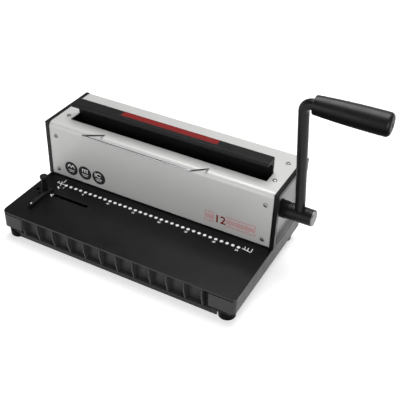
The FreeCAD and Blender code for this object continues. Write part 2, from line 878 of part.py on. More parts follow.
def make_closer():
    """Hooked bar that presses the wire loops shut."""
    under = closer_top - closer_flange_t
    web_front = closer_rear - closer_web_t
    centre = (web_front - closer_curve_r, under - closer_curve_r)
    corner = math.sqrt(0.5) * closer_curve_r
    p = [FreeCAD.Vector(-closer_half_x, y, z) for y, z in [
        (web_front, closer_bottom), (web_front, centre[1]), (centre[0] + corner, centre[1] + corner),
        (centre[0], under), (closer_front, under), (closer_front, closer_top),
        (closer_rear, closer_top), (closer_rear, closer_bottom)]]
    edges = [Part.makeLine(p[0], p[1]), Part.Arc(p[1], p[2], p[3]).toShape()]
    edges += [Part.makeLine(p[i], p[(i + 1) % 8]) for i in range(3, 8)]
    bar = Part.Face(Part.Wire(edges)).extrude(FreeCAD.Vector(2 * closer_half_x, 0, 0))
    bar = bar.makeFillet(closer_edge_r, edges_at(bar, lambda q: near(q.z, closer_top)))
    lug = box(closer_half_x, closing_gear_x[1], web_front, closer_rear, carrier_top, lug_top)
    return fuse([bar, lug, mirrored(lug)])


def make_closer_carriers():
    """Blocks that run on the rails, with rack teeth underneath."""
    pitch_z = shaft_z + closing_r
    teeth = [(shaft_y + along, pitch_z - out) for along, out in rack_outline(closing_travel)]
    front = teeth[0][0] - 0.6
    outline = [(front, teeth[0][1])] + teeth + [(carrier_rear, teeth[-1][1]), (carrier_rear, lug_top)]
    outline += [(closer_rear, lug_top), (closer_rear, carrier_top), (front, carrier_top)]
    block = slab_x(closing_gear_x[0], closing_gear_x[1], outline)
    return pair([block.cut(rod_y(rail_front, rail_rear, rail_x, rail_z, rail_d + 2 * sliding_fit))])


def make_rails():
    """Round rails of the closing bar."""
    return pair([rod_y(rail_front, rail_rear, rail_x, rail_z, rail_d)])


def make_rail_brackets():
    """Brackets that hold the rails to the inner plates."""
    right = []
    for y in (rail_front, rail_rear - bracket_t):
        block = box(rail_x - bracket_side, frame_in, y, y + bracket_t,
                    rail_z - bracket_half_h, rail_z + bracket_half_h)
        right.append(block.cut(rod_y(y, y + bracket_t, rail_x, rail_z, rail_d)))
    return pair(right)


def make_trough():
    """Bent sheet under the slot that the wire rests in."""
    x = trough_half_x
    front = slot_front - trough_t
    floor = box(-x, x, front, trough_rear, trough_floor - trough_t, trough_floor)
    wall = box(-x, x, front, slot_front, trough_floor, body_under_top)
    lip = box(-x, x, front - trough_lip, front, body_under_top - trough_lip_t, body_under_top)
    return fuse([floor, wall, lip])


# Handle.

def arm_point(distance):
    """Place on the line of the arm, at a distance from the shaft axis."""
    back = distance * math.sin(arm_lean)
    return FreeCAD.Vector(arm_x, shaft_y - back, shaft_z + distance * math.cos(arm_lean))


def arm_rod(start, end, x, d):
    """Round bar along the arm's direction, at x."""
    base = arm_point(start)
    along = arm_point(end) - base
    return Part.makeCylinder(d / 2, end - start, FreeCAD.Vector(x, base.y, base.z), along)


def set_screw_places():
    """X of the set screws beside the arm."""
    return [hub_start + set_screw_inset, hub_end - set_screw_inset]


def make_hub_collar():
    """Spacer between bush and hub."""
    return ring_on_shaft(frame_out + free_gap, hub_start, hub_collar_d)


def make_hub():
    """Round hub that clamps the arm to the shaft."""
    body = rod_x(hub_start, hub_end, shaft_y, shaft_z, hub_d)
    body = body.makeChamfer(hub_chamfer, edges_at(body, lambda p: near(p.x, hub_start)))
    tools = [rod_x(hub_start, hub_end, shaft_y, shaft_z, shaft_d), arm_rod(arm_seat, hub_d, arm_x, arm_d)]
    tools += [arm_rod(shaft_d / 2, hub_d, x, set_screw_d) for x in set_screw_places()]
    return body.cut(tools)


def make_set_screws():
    """Set screws with a hexagon socket."""
    screws = []
    top = hub_d / 2 + free_gap
    for x in set_screw_places():
        base = arm_point(top - socket_depth)
        turn = FreeCAD.Rotation(FreeCAD.Vector(0, 0, 1), arm_point(1) - arm_point(0))
        ring = [FreeCAD.Vector(socket_r * math.cos(a), socket_r * math.sin(a), 0)
                for a in [math.pi / 3 * i for i in range(6)]]
        socket = Part.Face(Part.makePolygon(ring + ring[:1])).extrude(FreeCAD.Vector(0, 0, socket_depth + 1))
        socket.Placement = FreeCAD.Placement(FreeCAD.Vector(x, base.y, base.z), turn)
        screws.append(arm_rod(shaft_d / 2, top, x, set_screw_d).cut(socket))
    return group(screws)


def make_hub_cap():
    """Bright disc on the end of the hub."""
    disc = rod_x(hub_end, hub_end + hub_cap_t, shaft_y, shaft_z, hub_d - hub_chamfer)
    return disc.makeChamfer(hub_cap_t / 4, edges_at(disc, lambda p: near(p.x, hub_end + hub_cap_t)))


def make_arm():
    """Round bar, bent over at the top to carry the grip."""
    corner = math.sqrt(0.5) * arm_bend_r
    side = FreeCAD.Vector(1, 0, 0)
    start = arm_point(arm_seat)
    bend = arm_point(arm_length - arm_bend_r)
    mid = arm_point(arm_length - arm_bend_r + corner) + side * (arm_bend_r - corner)
    out = arm_point(arm_length) + side * arm_bend_r
    end = FreeCAD.Vector(grip_end - grip_floor, out.y, out.z)
    path = Part.Wire([Part.makeLine(start, bend), Part.Arc(bend, mid, out).toShape(), Part.makeLine(out, end)])
    ring = Part.Wire([Part.makeCircle(arm_d / 2, start, bend - start)])
    return path.makePipeShell([ring], True)


def make_grip():
    """Rubber grip, slightly bulged and a little thicker towards its rounded end."""
    axis = arm_point(arm_length)
    near_nose = grip_end - grip_nose_r
    corner = math.sqrt(0.5) * grip_nose_r
    lead = 0.8

    def at(x, r):
        return FreeCAD.Vector(x, axis.y, axis.z + r)

    inner = at(grip_start, 0)
    face = at(grip_start, grip_r_start - lead)
    rim = at(grip_start + lead, grip_r_start)
    belly = at((grip_start + near_nose) / 2, (grip_r_start + grip_r_end) / 2 + grip_bulge)
    shoulder = at(near_nose, grip_r_end)
    nose = at(near_nose + corner, grip_r_end - grip_nose_r + corner)
    tip = at(grip_end, grip_r_end - grip_nose_r)
    middle = at(grip_end, 0)
    edges = [Part.makeLine(inner, face), Part.makeLine(face, rim), Part.Arc(rim, belly, shoulder).toShape()]
    edges += [Part.Arc(shoulder, nose, tip).toShape(), Part.makeLine(tip, middle), Part.makeLine(middle, inner)]
    body = Part.Face(Part.Wire(edges)).revolve(inner, FreeCAD.Vector(1, 0, 0), 360)
    return body.cut([rod_x(grip_start, grip_end - grip_floor, axis.y, axis.z, arm_d),
                     rod_x(grip_end - grip_floor, grip_end, axis.y, axis.z, grip_vent_d)])


# Wire rack.

def rack_direction():
    """Direction of a leg of the rack, from its tip up to the top sheet."""
    return FreeCAD.Vector(0, rack_reach, -rack_rise).normalize()


def rack_tip(x):
    """Front corner of the rack, on the wire's centre line."""
    return FreeCAD.Vector(x, rack_root_y - rack_reach, body_top + rack_rise)


def rack_leg_length():
    """Length of a leg from the front corner to its end inside the body."""
    return math.hypot(rack_reach, rack_rise) + rack_inside


def rack_leg(x):
    """Straight leg of the wire rack, which is also its bore."""
    return Part.makeCylinder(rack_d / 2, rack_leg_length(), rack_tip(x), rack_direction())


def make_rack():
    """Bent wire that holds the binding wire in front of the machine."""
    along = rack_direction()
    r = rack_bend_r
    corner = r * (1 - math.sqrt(0.5))
    sides = []
    for x, turn in ((rack_left, 1), (rack_right, -1)):
        edge = rack_tip(x)
        inward = FreeCAD.Vector(turn, 0, 0)
        sides.append([edge + along * rack_leg_length(), edge + along * r,
                      edge + along * corner + inward * corner, edge + inward * r])
    left, right = sides
    edges = [Part.makeLine(left[0], left[1]), Part.Arc(left[1], left[2], left[3]).toShape(),
             Part.makeLine(left[3], right[3]), Part.Arc(right[3], right[2], right[1]).toShape(),
             Part.makeLine(right[1], right[0])]
    ring = Part.Wire([Part.makeCircle(rack_d / 2, left[0], along)])
    return Part.Wire(edges).makePipeShell([ring], True)


def make_rack_clamps():
    """Blocks under the top sheet that grip the legs of the rack."""
    clamps = []
    for x in (rack_left, rack_right):
        block = box(x - rack_clamp_half_x, x + rack_clamp_half_x, rack_clamp_front, rack_clamp_rear,
                    body_under_top - rack_clamp_h, body_under_top)
        clamps.append(block.cut(rack_leg(x)))
    return group(clamps)


# Edge guide.

def make_edge_guide():
    """Sliding stop for the side of the paper."""
    seat = table_z + table_gap
    bar_z = table_z + guide_bar_h
    bar = box(guide_face_x - guide_bar_w, guide_face_x, guide_bar_front, clamp_y - neck_d / 2 - free_gap,
              seat, bar_z)
    pad_z = table_z + pad_t
    pad = box(guide_face_x - pad_w, guide_face_x, clamp_y - pad_half_y, clamp_y + pad_half_y, seat, pad_z)
    solid = fuse([bar, pad])
    solid = solid.makeFillet(guide_edge_r, edges_at(solid, lambda p: near(p.z, bar_z)))
    return solid.cut(rod_z(table_z, pad_z, clamp_x, clamp_y, stud_d + 2 * running_fit))


def make_clamp_knob():
    """Knob with a stud that clamps the edge guide."""
    seat = table_z + pad_t
    head_top = table_z + clamp_h
    head_bottom = head_top - clamp_head_h
    stud = rod_z(under_table - stud_reach, seat + 1, clamp_x, clamp_y, stud_d)
    neck = rod_z(seat + free_gap / 3, head_bottom, clamp_x, clamp_y, neck_d)
    head = rod_z(head_bottom, head_top, clamp_x, clamp_y, clamp_head_d)
    rims = edges_at(head, lambda p: near(p.z, head_top)) + edges_at(head, lambda p: near(p.z, head_bottom))
    head = head.makeFillet(1.0, rims)
    return fuse([stud, neck, head])


def make_clamp_nut():
    """Nut plate under the table."""
    top = under_table - table_gap
    plate = box(clamp_x - nut_half_x, clamp_x + nut_half_x, clamp_y - nut_half_y, clamp_y + nut_half_y,
                top - nut_h, top)
    return plate.cut(rod_z(top - nut_h, top, clamp_x, clamp_y, stud_d + 2 * running_fit))


# Chip drawer.

def make_drawer():
    """Open box that catches the chips."""
    x = drawer_half_x
    bottom = pan_top + table_gap
    top = pan_top + drawer_h
    rear = base_half_y + free_gap
    outer = box(-x, x, drawer_front, rear, bottom, top)
    inner = box(-x + drawer_wall, x - drawer_wall, drawer_front + drawer_wall, rear - drawer_wall,
                bottom + drawer_wall, top)
    return outer.cut(inner)


def make_drawer_face():
    """Face of the drawer with a finger lip."""
    y0 = base_half_y + free_gap
    y1 = y0 + drawer_face_t
    half = drawer_half_x + drawer_face_side
    plate = box(-half, half, y0, y1, pan_top + table_gap, drawer_face_top)
    lip_z = (pan_top + drawer_face_top) / 2
    lip = box(-drawer_lip_half, drawer_lip_half, y1, y1 + drawer_lip_reach, lip_z, lip_z + drawer_lip_t)
    return fuse([plate, lip])


def make_parts():
    """Every piece under its name."""
    return {
        "table_moulding": make_table(),
        "base_pan": make_pan(),
        "rubber_feet": make_feet(),
        "foot_screws": make_foot_screws(),
        "side_frame_right": make_side_frame(),
        "side_frame_left": mirrored(make_side_frame()),
        "top_shell": make_shell(),
        "rear_cover": make_rear_cover(),
        "side_panel_right": make_side_panel().cut(hub_hole()),
        "side_panel_left": mirrored(make_side_panel()),
        "side_rim_right": make_side_rim(),
        "side_rim_left": mirrored(make_side_rim()),
        "side_spacers": make_side_spacers(),
        "tie_rods": make_tie_rods(),
        "tie_screws": make_tie_screws(),
        "front_screws": make_front_screws(),
        "top_screws": make_top_screws(),
        "rear_screws": make_rear_screws(),
        "shaft_bushes": make_shaft_bushes(),
        "die_supports": make_die_supports(),
        "die_plate": make_die(),
        "paper_stop": make_paper_stop(),
        "punch_guide": make_punch_guide(),
        "die_bolts": make_die_bolts(),
        "guide_posts": make_posts(),
        "wire_trough": make_trough(),
        "closer_rails": make_rails(),
        "rail_brackets": make_rail_brackets(),
        "wire_rack": make_rack(),
        "rack_clamps": make_rack_clamps(),
        "punch_bar": make_punch_bar(),
        "punch_pins": make_pins(),
        "post_bushes": make_post_bushes(),
        "pin_cap": make_pin_cap(),
        "cap_screws": make_cap_screws(),
        "punch_racks": make_punch_racks(),
        "main_shaft": make_shaft(),
        "shaft_ring": make_shaft_ring(),
        "punch_pinions": make_punch_pinions(),
        "closer_pinions": make_closing_pinions(),
        "return_spring": make_spring(),
        "spring_collar": make_spring_collar(),
        "closing_bar": make_closer(),
        "closer_carriers": make_closer_carriers(),
        "hub_collar": make_hub_collar(),
        "handle_hub": make_hub(),
        "hub_set_screws": make_set_screws(),
        "hub_cap": make_hub_cap(),
        "handle_arm": make_arm(),
        "handle_grip": make_grip(),
        "edge_guide": make_edge_guide(),
        "clamp_knob": make_clamp_knob(),
        "clamp_nut": make_clamp_nut(),
        "chip_drawer": make_drawer(),
        "drawer_face": make_drawer_face(),
    }


os.makedirs("parts", exist_ok=True)
for name, shape in make_parts().items():
    shape.exportStep("parts/" + name + ".step")
    print(name, len(shape.Solids), "solids", round(shape.Volume), "mm3", shape.isValid())
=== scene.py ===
# %% [markdown]
# # A wire binding machine, dressed for the studio
# This lesson gives a bare engineering model of a wire binding machine its looks.
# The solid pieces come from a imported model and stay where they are.
# We paint them, print the scale on the paper table, swap a few plain pieces for finer ones,
# and light the machine like a product on a white table.

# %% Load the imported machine
import json
import math

import bmesh
import bpy
from mathutils import Matrix, Vector


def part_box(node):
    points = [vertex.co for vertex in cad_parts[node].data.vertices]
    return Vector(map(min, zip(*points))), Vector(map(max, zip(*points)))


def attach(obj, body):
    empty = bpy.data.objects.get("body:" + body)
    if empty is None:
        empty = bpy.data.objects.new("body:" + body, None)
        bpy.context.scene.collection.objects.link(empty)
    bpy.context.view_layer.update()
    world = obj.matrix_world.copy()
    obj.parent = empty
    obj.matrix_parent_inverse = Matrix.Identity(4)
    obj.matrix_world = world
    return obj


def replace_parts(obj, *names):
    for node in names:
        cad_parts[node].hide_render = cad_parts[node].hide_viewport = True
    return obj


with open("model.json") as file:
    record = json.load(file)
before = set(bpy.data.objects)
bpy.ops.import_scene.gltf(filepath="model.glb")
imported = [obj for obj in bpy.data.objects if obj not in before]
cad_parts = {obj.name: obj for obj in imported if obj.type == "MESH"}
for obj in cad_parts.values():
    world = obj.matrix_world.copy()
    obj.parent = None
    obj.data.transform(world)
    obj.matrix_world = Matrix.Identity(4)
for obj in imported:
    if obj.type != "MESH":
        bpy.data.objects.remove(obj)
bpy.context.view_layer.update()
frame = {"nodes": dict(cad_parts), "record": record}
nodes = frame["nodes"]

# %% [markdown]
# ## Where things are
# Every later step hangs its pieces on faces of the solid model.
# We could type these heights in, but reading them from the pieces' boxes means that they can't
# drift apart.

# %% Faces that carry the printed marks
MM = 0.001
table_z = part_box("table_moulding")[1].z
front_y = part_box("top_shell")[0].y
top_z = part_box("top_shell")[1].z
bar_top_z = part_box("closing_bar")[1].z
bar_rear_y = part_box("closing_bar")[1].y
print("table top", table_z, "front sheet", front_y, "sheet top", top_z, "bar top", bar_top_z)

# %% [markdown]
# ## The camera
# The photograph looks down on the machine from the right front.
# The row of marks on the table has a known pitch, so the camera could be solved from it: its
# place, its lens and a slight tilt.
# We build its axes from three angles, which is easier to read than a rotation matrix.

# %% Camera at the photograph's place
CAMERA_PLACE = (0.4371, -0.7160, 0.6662)
CAMERA_LENS = 67.08
SENSOR_WIDTH = 36
turn, rise, tilt = math.radians(26.95), math.radians(36.11), math.radians(2.09)
back = Vector((math.sin(turn) * math.cos(rise), -math.cos(turn) * math.cos(rise), math.sin(rise)))
right = Vector((math.cos(turn), math.sin(turn), 0))
up = back.cross(right)
camera_x = right * math.cos(tilt) + up * math.sin(tilt)
camera_y = up * math.cos(tilt) - right * math.sin(tilt)
camera = bpy.data.objects.new("camera", bpy.data.cameras.new("camera"))
bpy.context.scene.collection.objects.link(camera)
camera.data.sensor_width = SENSOR_WIDTH
camera.data.lens = CAMERA_LENS
camera_axes = Matrix((camera_x, camera_y, back)).transposed().to_4x4()
camera.matrix_world = Matrix.Translation(CAMERA_PLACE) @ camera_axes
bpy.context.scene.camera = camera
bpy.context.scene.view_settings.view_transform = "Standard"
print("camera stands", round(camera.location.length, 3), "m from the middle of the base")

# %% [markdown]
# ## Lamps
# The machine stands on a white table inside a tent of soft light.
# The world is pale near the horizon and dim above, like a room behind a white sweep, and lights
# all sides a little.
# Only the camera sees it as plain white, so that the backdrop stays white from every side.
# Three soft boxes do the rest, as in a product studio: a large one overhead for the tops, a low
# one at the left front that lights the front sheet and reaches into the recess of the base, and
# one at the right front for the right side.
# Black plastic hardly shows colour, so what we see on it is the mirror image of these boxes and of
# the floor.

# %% World and soft boxes
MACHINE_MIDDLE = Vector((0.03, 0, 0.06))
HORIZON_HEIGHTS = (0.05, 0.35)
HORIZON_LIGHT, UPPER_LIGHT = 0.95, 0.22


def soft_box(name, place, size, watts):
    """A square lamp that points at the machine."""
    data = bpy.data.lights.new(name, "AREA")
    data.size = size
    data.energy = watts
    made = bpy.data.objects.new(name, data)
    made.location = place
    made.rotation_mode = "QUATERNION"
    made.rotation_quaternion = (MACHINE_MIDDLE - Vector(place)).to_track_quat("-Z", "Y")
    bpy.context.scene.collection.objects.link(made)
    return made


world = bpy.data.worlds.new("light_tent")
bpy.context.scene.world = world
world.use_nodes = True
tent = world.node_tree
sky = tent.nodes["Background"]
sky.inputs["Color"].default_value = (1, 1, 1, 1)
direction = tent.nodes.new("ShaderNodeTexCoord")
height = tent.nodes.new("ShaderNodeSeparateXYZ")
fade = tent.nodes.new("ShaderNodeMapRange")
fade.inputs["From Min"].default_value, fade.inputs["From Max"].default_value = HORIZON_HEIGHTS
fade.inputs["To Min"].default_value = HORIZON_LIGHT
fade.inputs["To Max"].default_value = UPPER_LIGHT
viewer = tent.nodes.new("ShaderNodeLightPath")
backdrop = tent.nodes.new("ShaderNodeMath")
backdrop.operation = "MAXIMUM"
tent.links.new(direction.outputs["Generated"], height.inputs[0])
tent.links.new(height.outputs["Z"], fade.inputs["Value"])
tent.links.new(fade.outputs["Result"], backdrop.inputs[0])
tent.links.new(viewer.outputs["Is Camera Ray"], backdrop.inputs[1])
tent.links.new(backdrop.outputs[0], sky.inputs["Strength"])
lamps = [
    soft_box("overhead_box", (0.05, 0.4, 1.5), 1.2, 27),
    soft_box("left_front_box", (-0.6, -1.5, 0.4), 0.9, 7),
    soft_box("right_front_box", (1.25, -0.9, 0.45), 0.8, 10),
]
print("lamps:", [lamp.name for lamp in lamps])

# %% [markdown]
# ## Floor
# A white table top in a photograph is pure white, yet it keeps a faint shade under the machine.
# The floor paper gets part of its white from its colour, and part from a glow that only the camera
# and mirror images see, so the light on the machine stays plain.

# %% Floor paper
FLOOR_REACH = 6
FLOOR_WHITE = 0.72
FLOOR_ROUGHNESS = 0.9
FLOOR_GLOW = 0.52
floor_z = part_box("rubber_feet")[0].z
floor_corners = [(x * FLOOR_REACH, y * FLOOR_REACH, floor_z)
                 for x, y in ((-1, -1), (1, -1), (1, 1), (-1, 1))]
floor_mesh = bpy.data.meshes.new("floor")
floor_mesh.from_pydata(floor_corners, [], [(0, 1, 2, 3)])
floor = bpy.data.objects.new("floor", floor_mesh)
bpy.context.scene.collection.objects.link(floor)

floor_paper = bpy.data.materials.new("floor_paper")
floor_paper.use_nodes = True
floor_tree = floor_paper.node_tree
paper = floor_tree.nodes["Principled BSDF"]
paper.inputs["Base Color"].default_value = (FLOOR_WHITE, FLOOR_WHITE, FLOOR_WHITE, 1)
paper.inputs["Roughness"].default_value = FLOOR_ROUGHNESS
path = floor_tree.nodes.new("ShaderNodeLightPath")
seen = path.outputs["Is Camera Ray"]
for kind in ("Is Glossy Ray", "Is Transmission Ray"):
    either = floor_tree.nodes.new("ShaderNodeMath")
    either.operation = "MAXIMUM"
    floor_tree.links.new(seen, either.inputs[0])
    floor_tree.links.new(path.outputs[kind], either.inputs[1])
    seen = either.outputs[0]
glow_share = floor_tree.nodes.new("ShaderNodeMath")
glow_share.operation = "MULTIPLY"
glow_share.inputs[1].default_value = FLOOR_GLOW
floor_tree.links.new(seen, glow_share.inputs[0])
glow = floor_tree.nodes.new("ShaderNodeEmission")
floor_tree.links.new(glow_share.outputs[0], glow.inputs["Strength"])
together = floor_tree.nodes.new("ShaderNodeAddShader")
floor_tree.links.new(paper.outputs[0], together.inputs[0])
floor_tree.links.new(glow.outputs[0], together.inputs[1])
floor_tree.links.new(together.outputs[0], floor_tree.nodes["Material Output"].inputs["Surface"])
floor_mesh.materials.append(floor_paper)
print("floor lies at", round(floor_z, 4))

# %% [markdown]
# ## Tools for the finishes
# Each finish is a small tree of nodes: soft patches in the colour, a fine grain in the relief, and
# edges that shine a little more where hands and paper rub.
# Image textures would need files and seams; noise in the piece's own space needs neither.
# The Bevel node rounds the look of sharp edges without touching the solid.

# %% Helpers that make the nodes
def node(tree, kind, inputs=(), **settings):
    """A new node with its settings and the values of its sockets."""
    made = tree.nodes.new(kind)
    for key, value in settings.items():
        setattr(made, key, value)
    for key, value in dict(inputs).items():
        made.inputs[key].default_value = value
    return made


def noise(tree, scale, detail=3.0, stretch=(1, 1, 1)):
    """Noise from 0 to 1 in the piece's own space; scale is in patches per metre."""
    place = node(tree, "ShaderNodeTexCoord")
    mapping = node(tree, "ShaderNodeMapping", {"Scale": stretch})
    texture = node(tree, "ShaderNodeTexNoise", {"Scale": scale, "Detail": detail})
    tree.links.new(place.outputs["Object"], mapping.inputs["Vector"])
    tree.links.new(mapping.outputs["Vector"], texture.inputs["Vector"])
    return texture.outputs[0]


def ramp(tree, value, low, high, start=0.35, end=0.65):
    """Turns a value that runs from start to end into one from low to high."""
    made = node(tree, "ShaderNodeMapRange",
                {"From Min": start, "From Max": end, "To Min": low, "To Max": high})
    tree.links.new(value, made.inputs["Value"])
    return made.outputs["Result"]


def mixed(tree, factor, first, second):
    """Mixes two colours, given as numbers or as an output of another node."""
    made = node(tree, "ShaderNodeMix", data_type="RGBA")
    tree.links.new(factor, made.inputs[0])
    for socket, colour in ((made.inputs[6], first), (made.inputs[7], second)):
        if isinstance(colour, tuple):
            socket.default_value = (*colour, 1)
        else:
            tree.links.new(colour, socket)
    return made.outputs[2]


def scaled(colour, factor):
    """The same colour, lighter or darker."""
    return tuple(min(1.0, c * factor) for c in colour)


def edge_nodes(tree, radius):
    """A normal that rounds sharp edges, and a mask that is 1 on them."""
    bevel = node(tree, "ShaderNodeBevel", {"Radius": radius}, samples=4)
    flat = node(tree, "ShaderNodeNewGeometry")
    dot = node(tree, "ShaderNodeVectorMath", operation="DOT_PRODUCT")
    tree.links.new(bevel.outputs[0], dot.inputs[0])
    tree.links.new(flat.outputs["Normal"], dot.inputs[1])
    return bevel.outputs[0], ramp(tree, dot.outputs["Value"], 1.0, 0.0, start=0.86, end=0.99)


def relief(tree, height, depth, normal):
    """Bumps `depth` metres high on top of a normal."""
    made = node(tree, "ShaderNodeBump", {"Strength": 1.0, "Distance": depth})
    tree.links.new(height, made.inputs["Height"])
    tree.links.new(normal, made.inputs["Normal"])
    return made.outputs[0]


def start_material(name, metallic):
    """A material with its tree and main shader."""
    material = bpy.data.materials.new(name)
    material.use_nodes = True
    shader = material.node_tree.nodes["Principled BSDF"]
    shader.inputs["Metallic"].default_value = metallic
    return material, material.node_tree, shader


print("helpers ready")

# %% [markdown]
# ## Paints, plastics and rubber
# The casing is bent sheet with a satin silver paint, the base is moulded plastic with a fine sandy
# skin, and the grip is smooth rubber.
# They differ in colour, gloss and grain, and share the same layers, so one function makes them all.
# Some black pieces get painted light on their upright faces: the base's fronts are painted paler
# for the light that falls on them from the front, and the pan's flange is painted darker as painted
# shade under its lip.
# The rubber shines on its upper half only, so a finish may also depend on the way that a face
# looks.

# %% Coated surfaces
MICRON = 0.000001
PATCHES_PER_METRE = 23
SMUDGES_PER_METRE = 61


def coated(name, colour, gloss, grain, depth, metallic=0.0, patch=0.06, wear=0.25,
           radius=0.6 * MM, specular=0.5, upright_painted_light=None, under_gloss=None):
    """Paint, plastic or rubber.

    gloss is the (low, high) roughness, grain and depth the size and height of the skin in patches
    per metre and in metres, patch the change of tone, wear the light on edges of a given radius.
    A colour for upright faces, if given, is painted light: it replaces the colour there with a
    paler or darker one for the light or shade that falls on them; under_gloss replaces the specular
    on lower ones.
    """
    material, tree, shader = start_material(name, metallic)
    normal, edge = edge_nodes(tree, radius)
    soft = noise(tree, PATCHES_PER_METRE, 4)
    fine = noise(tree, grain, 2)
    darker, lighter = scaled(colour, 1 - patch), scaled(colour, 1 + patch)
    body = mixed(tree, ramp(tree, soft, 0, 1), darker, lighter)
    facing = node(tree, "ShaderNodeSeparateXYZ")
    tree.links.new(node(tree, "ShaderNodeNewGeometry").outputs["Normal"], facing.inputs[0])
    # Painted light: upright faces take a paler or darker colour that stands in for the light and
    # shade on them.
    if upright_painted_light:
        flat = ramp(tree, facing.outputs["Z"], 0.0, 1.0, start=0.3, end=0.9)
        body = mixed(tree, flat, upright_painted_light, body)
    specks = mixed(tree, ramp(tree, fine, 0, 0.35), body, scaled(colour, 1 + 3 * patch))
    rubbed = node(tree, "ShaderNodeMath", {1: wear}, operation="MULTIPLY")
    tree.links.new(edge, rubbed.inputs[0])
    worn = mixed(tree, rubbed.outputs[0], specks, scaled(colour, 1.5))
    tree.links.new(worn, shader.inputs["Base Color"])
    smudges = noise(tree, SMUDGES_PER_METRE, 5)
    tree.links.new(ramp(tree, smudges, gloss[0], gloss[1]), shader.inputs["Roughness"])
    tree.links.new(relief(tree, fine, depth, normal), shader.inputs["Normal"])
    shader.inputs["Specular IOR Level"].default_value = specular
    if under_gloss is not None:
        shine = ramp(tree, facing.outputs["Z"], under_gloss, specular, start=-0.1, end=0.6)
        tree.links.new(shine, shader.inputs["Specular IOR Level"])
    return material


coats = {
    "silver_paint": dict(colour=(0.49, 0.49, 0.482), gloss=(0.5, 0.55), grain=2600,
                         depth=4 * MICRON, metallic=0.35, patch=0.02),
    "grey_panel": dict(colour=(0.23, 0.23, 0.23), gloss=(0.36, 0.46), grain=2200,
                       depth=4 * MICRON, metallic=0.25, patch=0.02),
    "black_paint": dict(colour=(0.005, 0.005, 0.0052), gloss=(0.3, 0.42), grain=1500,
                        depth=10 * MICRON, specular=0.18),
    "black_bar": dict(colour=(0.005, 0.005, 0.0055), gloss=(0.34, 0.44), grain=1800,
                      depth=10 * MICRON, specular=0.18),
    # the black plastic's upright faces are painted paler: painted light for the light from the
    # front
    "black_plastic": dict(colour=(0.003, 0.003, 0.0036), gloss=(0.3, 0.38), grain=1300,
                          depth=20 * MICRON, wear=0.6, radius=0.9 * MM, specular=0.16,
                          upright_painted_light=(0.04, 0.04, 0.041)),
    "black_rubber": dict(colour=(0.004, 0.004, 0.004), gloss=(0.32, 0.42), grain=700,
                         depth=10 * MICRON, specular=0.3, under_gloss=0.01),
}
finishes = {name: coated(name, **look) for name, look in coats.items()}
print("coated finishes:", ", ".join(finishes))

# %% [markdown]
# ## Bare metals
# Turned and ground steel shows fine lines along one way.
# We stretch the noise sixty times in one direction and let it change the roughness and the relief.

# %% Brushed and plated metals
METAL_EDGE = 0.3 * MM
LINES_PER_METRE = 60
CLOUDS_PER_METRE = 35
BRUSHED_ALONG_X = (1, 60, 60)


def bare_metal(name, colour, gloss, lines=BRUSHED_ALONG_X, depth=6 * MICRON):
    """Metal with fine lines along the direction in which the noise is stretched least."""
    material, tree, shader = start_material(name, 1.0)
    normal = edge_nodes(tree, METAL_EDGE)[0]
    brushed = noise(tree, LINES_PER_METRE, 4, lines)
    clouds = noise(tree, CLOUDS_PER_METRE, 4)
    tone = mixed(tree, ramp(tree, clouds, 0, 1), scaled(colour, 0.86), scaled(colour, 1.06))
    lined = mixed(tree, ramp(tree, brushed, 0, 0.5), tone, scaled(colour, 0.8))
    tree.links.new(lined, shader.inputs["Base Color"])
    tree.links.new(ramp(tree, brushed, gloss[0], gloss[1]), shader.inputs["Roughness"])
    tree.links.new(relief(tree, brushed, depth, normal), shader.inputs["Normal"])
    return material


finishes["bright_wire"] = bare_metal("bright_wire", (0.34, 0.34, 0.35), (0.12, 0.2),
                                     lines=(1, 1, 1), depth=0.5 * MICRON)
metals = {  # name: (colour, roughness from and to)
    "dark_screw": ((0.03, 0.03, 0.032), (0.3, 0.4)),
    "screw_steel": ((0.26, 0.26, 0.27), (0.26, 0.38)),
    "zinc_steel": ((0.58, 0.6, 0.62), (0.3, 0.45)),
    "tool_steel": ((0.5, 0.5, 0.5), (0.2, 0.32)),
    "spring_steel": ((0.36, 0.35, 0.34), (0.25, 0.4)),
    "bronze": ((0.55, 0.39, 0.2), (0.3, 0.42)),
}
finishes.update({name: bare_metal(name, *look) for name, look in metals.items()})
special = {  # pieces whose look differs from that of their slot
    # the pan's top is painted paler to show the lit strip of its lip, and its upright faces dark as
    # painted shade under the lip
    "base_pan": coated("pan_paint", (0.05, 0.05, 0.051), (0.36, 0.46), 1500, 10 * MICRON,
                       specular=0.25, upright_painted_light=(0.004, 0.004, 0.004)),
    "hub_cap": bare_metal("cap_steel", (0.22, 0.22, 0.225), (0.42, 0.52)),
    "edge_guide": coated("guide_plastic", (0.004, 0.004, 0.0045), (0.34, 0.44), 1300, 10 * MICRON,
                         specular=0.2),
}
for part in frame["record"]["subparts"]:
    mesh = nodes[part["node"]].data
    mesh.materials.clear()
    mesh.materials.append(special.get(part["node"], finishes[part["material_slot"]]))

# %% [markdown]
# ## Inks
# The marks are screen printed: a thin, slightly uneven coat of matt ink.
# The ink needs its own materials, because it doesn't share the skin of what it lies on.

# %% Ink materials
INK_SPOTS_PER_METRE = 900


def ink(name, colour, roughness=(0.5, 0.65), specular=0.4):
    """Printed ink that is a little thinner in places."""
    material, tree, shader = start_material(name, 0.0)
    thin = noise(tree, INK_SPOTS_PER_METRE, 3)
    coat = mixed(tree, ramp(tree, thin, 0, 1), scaled(colour, 0.88), colour)
    tree.links.new(coat, shader.inputs["Base Color"])
    tree.links.new(ramp(tree, thin, roughness[0], roughness[1]), shader.inputs["Roughness"])
    shader.inputs["Specular IOR Level"].default_value = specular
    return material


